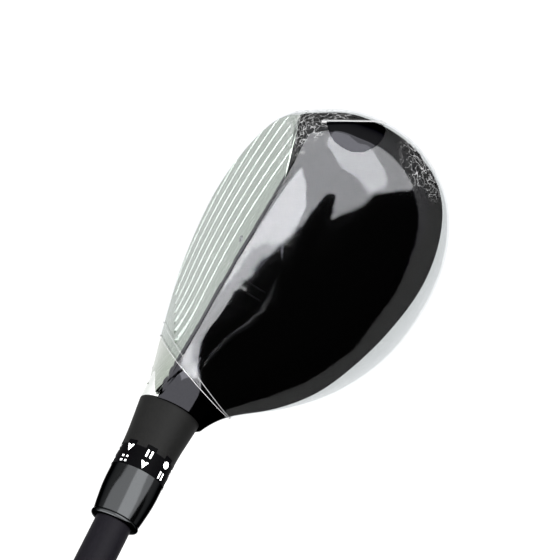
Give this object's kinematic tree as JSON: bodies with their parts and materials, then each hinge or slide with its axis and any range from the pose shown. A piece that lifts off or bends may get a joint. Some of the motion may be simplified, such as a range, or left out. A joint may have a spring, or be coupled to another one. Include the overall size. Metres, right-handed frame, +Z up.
{
  "type": "hybrid golf club",
  "caption": "Adjustable hybrid golf club: hollow wood-shaped head with a grooved face, indexed hosel sleeve, tapered shaft and rubber grip, its head still in clear shrink film.",
  "frame": {"origin": "centre of the wrench port's mouth in the sole, on the hosel axis", "axes": "+Z up with the club at address, +X from heel to toe, +Y toward the target; the shaft leans back over -X"},
  "size_m": [0.6269, 0.0605, 0.8688],
  "materials": {
    "body_steel": "satin bead-blasted steel",
    "face_steel": "fine-milled steel",
    "crown_paint": "deep gloss black lacquer",
    "hosel_matte": "matte black coating",
    "tungsten": "sintered, unpolished",
    "screw_steel": "plated, fine turned",
    "clear_film": "clear crinkled polyolefin shrink film",
    "nylon": "natural nylon",
    "weight_steel": "black anodised",
    "seal_rubber": "smooth rubber",
    "ring_black": "black anodised, satin",
    "ferrule_gloss": "polished black",
    "shaft_paint": "satin dark lacquer over graphite composite",
    "brass_plug": "turned brass",
    "tape": "double-sided paper tape",
    "grip_rubber": "moulded pattern, matte",
    "cap_rubber": "moulded, satin"
  },
  "bodies": {
    "shaft_unit": {"adapter_sleeve": "ring_black", "ferrule": "ferrule_gloss", "shaft": "shaft_paint", "tip_weight": "brass_plug", "grip_tape": "tape", "grip": "grip_rubber", "grip_end_cap": "cap_rubber"},
    "index_ring": {"setting_ring": "ring_black"},
    "head": {"head_body": "body_steel", "face_plate": "face_steel", "crown_plate": "crown_paint", "hosel_tube": "hosel_matte", "toe_weight": "tungsten", "heel_weight": "tungsten", "weight_socket": "body_steel", "screw_washer": "screw_steel", "shrink_film": "clear_film"},
    "screw": {"hosel_screw": "screw_steel", "screw_retainer": "nylon"},
    "weight_seal": {"weight_o_ring": "seal_rubber"},
    "weight": {"sole_weight": "weight_steel"}
  },
  "joints": [
    {"name": "setting_turn", "type": "hinge", "parent": "shaft_unit", "child": "index_ring", "pos_m": [0, 0, 0], "axis": [-0.5446, 0, 0.8387], "continuous": true},
    {"name": "head_release", "type": "slide", "parent": "index_ring", "child": "head", "axis": [0.5446, 0, -0.8387], "range_m": [0, 0.0064]},
    {"name": "screw_turn", "type": "hinge", "parent": "head", "child": "screw", "pos_m": [0, 0, 0], "axis": [0.5446, 0, -0.8387], "range_deg": [0, 2880]},
    {"name": "weight_out", "type": "slide", "parent": "head", "child": "weight_seal", "axis": [0, -0.1908, -0.9816], "range_m": [0, 0.005]},
    {"name": "weight_turn", "type": "hinge", "parent": "weight_seal", "child": "weight", "pos_m": [0.03, -0.026, -0.0013], "axis": [0, -0.1908, -0.9816], "range_deg": [0, 1800]}
  ],
  "couplings": [
    {"joint": "screw_turn", "follows": "head_release", "rad_per_m": 7854},
    {"joint": "weight_out", "follows": "weight_turn", "m_per_rad": 0.00015915}
  ]
}
